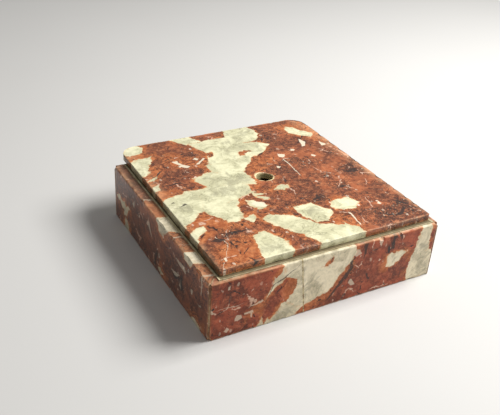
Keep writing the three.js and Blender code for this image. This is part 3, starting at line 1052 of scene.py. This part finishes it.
back_marble = breccia(
    Marble("back slab marble", FAR_FIGURE, (X, Z), lean=0.5, outer=HALF_DEPTH / MM),
    BODY_REDS_PARTLY_SHADED, BODY_CREAMS, ledge_dust_and_painted_light, vein_share=0.85, sheen=0.35)
bed_mortar = mortar("bed cement", paint(240, 230, 194), paint(206, 192, 150), grime_and_shade=bead_grime_and_groove_shade)
joint_mortar = mortar("joint cement", paint(192, 162, 124), paint(124, 88, 62))
seam_mortar = mortar("seam filler", paint(222, 204, 156), paint(112, 76, 40), lumps=3.0)


# --------------------------------------------------------------------------------------- pieces

def chip(x, y, z, size_x, size_y, size_z):
    """A chip to knock off, in mm, with its cutter's half sizes."""
    return Vector((x, y, z)) * MM, Vector((size_x, size_y, size_z)) * MM


NEAR_CORNER_CHIPS = [chip(-75.8, -76.8, -0.6, 3.6, 3.6, 4.4), chip(-75.6, -76.6, 18.5, 1.4, 1.4, 3.0),
                     chip(-75.5, -76.5, 37.6, 2.2, 2.2, 2.0)]
RIGHT_CORNER_CHIP = chip(75.4, -76.4, 37.6, 3.8, 3.4, 3.0)
FAR_CORNER_CHIP = chip(-75.9, 64.9, 38.0, 4.2, 4.2, 4.0)
FRONT_CHIPS = [chip(33.5, -76.6, 37.6, 2.6, 2.0, 3.0), chip(46, -76.5, 37.8, 1.8, 1.5, 2.4),
               chip(12, -76.5, 37.7, 3.2, 1.4, 1.8), RIGHT_CORNER_CHIP,
               chip(60, -76.4, -0.4, 3.6, 1.6, 1.8)]
LEFT_CHIPS = [chip(-75.9, -14, 37.9, 2.2, 7.0, 3.0), chip(-75.8, -50, 37.9, 2.0, 5.0, 2.6),
              chip(-75.7, -29, 37.8, 2.0, 4.4, 2.6), chip(-75.6, -63, 37.7, 1.8, 5.0, 2.2),
              chip(-75.5, 16, 37.6, 1.6, 3.6, 1.9), FAR_CORNER_CHIP,
              chip(-75.6, 38, -0.4, 1.8, 4.6, 1.8)]
TOP_CHIPS = [chip(-67.8, -72.4, 42.2, 2.1, 2.1, 1.8), chip(-8, -72.3, 42.0, 3.6, 1.0, 1.1),
             chip(44, -72.3, 42.0, 2.8, 1.0, 1.1), chip(-67.8, -34, 42.0, 1.0, 3.0, 1.1),
             chip(-67.8, 30, 42.0, 1.0, 3.6, 1.1), chip(6.0, 9.6, 42.1, 3.0, 2.6, 1.0)]

TIP = JOINT / math.sqrt(2)  # how far a mitred stone stops short of the body's corner

front_left = upright_stone("front_left_stone", TIP - HALF_WIDTH, SEAM_FOOT - JOINT / 2, HALF_DEPTH,
                           turn=0, right_cut="seam", chips=NEAR_CORNER_CHIPS)
front_right = upright_stone("front_right_stone", SEAM_FOOT + JOINT / 2, HALF_WIDTH - TIP, HALF_DEPTH,
                            turn=0, left_cut="seam", chips=FRONT_CHIPS)
left = upright_stone("left_stone", TIP - HALF_DEPTH, HALF_DEPTH - TIP, HALF_WIDTH,
                     turn=-90, chips=NEAR_CORNER_CHIPS + LEFT_CHIPS)
right = upright_stone("right_stone", TIP - HALF_DEPTH, HALF_DEPTH - TIP, HALF_WIDTH, turn=90)
back = upright_stone("back_stone", TIP - HALF_WIDTH, HALF_WIDTH - TIP, HALF_DEPTH, turn=180)
finish_piece(front_left, "front_slab_left", front_marble)
finish_piece(front_right, "front_slab_right", front_marble)
finish_piece(left, "left_slab", left_marble)
finish_piece(right, "right_slab", right_marble)
finish_piece(back, "back_slab", back_marble)
finish_piece(top_stone(TOP_CHIPS), "top_slab", top_marble)
finish_piece(seam_cement(), "front_seam_cement", seam_mortar)
finish_piece(bed_cement(), "top_bed_cement", bed_mortar)
for corner, side_x, side_y, chips in (("front_left", -1, -1, NEAR_CORNER_CHIPS),
                                      ("front_right", 1, -1, [RIGHT_CORNER_CHIP]),
                                      ("back_left", -1, 1, [FAR_CORNER_CHIP]),
                                      ("back_right", 1, 1, [])):
    line = corner_cement(corner + "_mitre_line", side_x, side_y, chips)
    finish_piece(line, corner + "_corner_cement", joint_mortar)


# ------------------------------------------------------------------------------------- studio

def add_camera():
    """Looks down on the near left corner, slightly rolled."""
    aim = Vector((-3.7, 10.3, 18.4)) * MM
    distance = 0.47
    azimuth, elevation, roll = math.radians(-30.65), math.radians(30.65), math.radians(3.89)
    level = math.cos(elevation)
    back_way = Vector((math.sin(azimuth) * level, -math.cos(azimuth) * level, math.sin(elevation)))
    bpy.ops.object.camera_add()
    camera = bpy.context.object
    camera.location = aim + back_way * distance
    camera.rotation_mode = "QUATERNION"
    camera.rotation_quaternion = back_way.to_track_quat("Z", "Y") @ Quaternion((0, 0, 1), roll)
    camera.data.lens = 52.71
    camera.data.sensor_width = 36
    bpy.context.scene.camera = camera


def add_floor():
    """A large sheet of pale paper with a faint grain."""
    recipe = Recipe("studio paper")
    tone = recipe.mix(recipe.noise(300, 3), paint(208, 206, 202), paint(214, 212, 208))
    recipe.set(recipe.shader.inputs["Base Color"], tone)
    recipe.set(recipe.shader.inputs["Roughness"], 0.9)
    bpy.ops.mesh.primitive_plane_add(size=14)
    floor = bpy.context.object
    floor.name = "floor"
    floor.data.materials.append(recipe.material)


def add_light():
    """A soft lamp high on the right, and an even pale surround."""
    bpy.ops.object.light_add(type="AREA", location=(0.55, -0.14, 0.72))
    lamp = bpy.context.object
    lamp.data.size = 0.5
    lamp.data.energy = 12.5
    lamp.rotation_euler = lamp.location.to_track_quat("Z", "Y").to_euler()
    world = bpy.data.worlds.new("studio")
    bpy.context.scene.world = world
    world.use_nodes = True
    surround = world.node_tree.nodes["Background"]
    surround.inputs["Color"].default_value = (0.8, 0.8, 0.8, 1)
    surround.inputs["Strength"].default_value = 0.33
    bpy.context.scene.view_settings.view_transform = "Standard"


add_camera()
add_floor()
add_light()
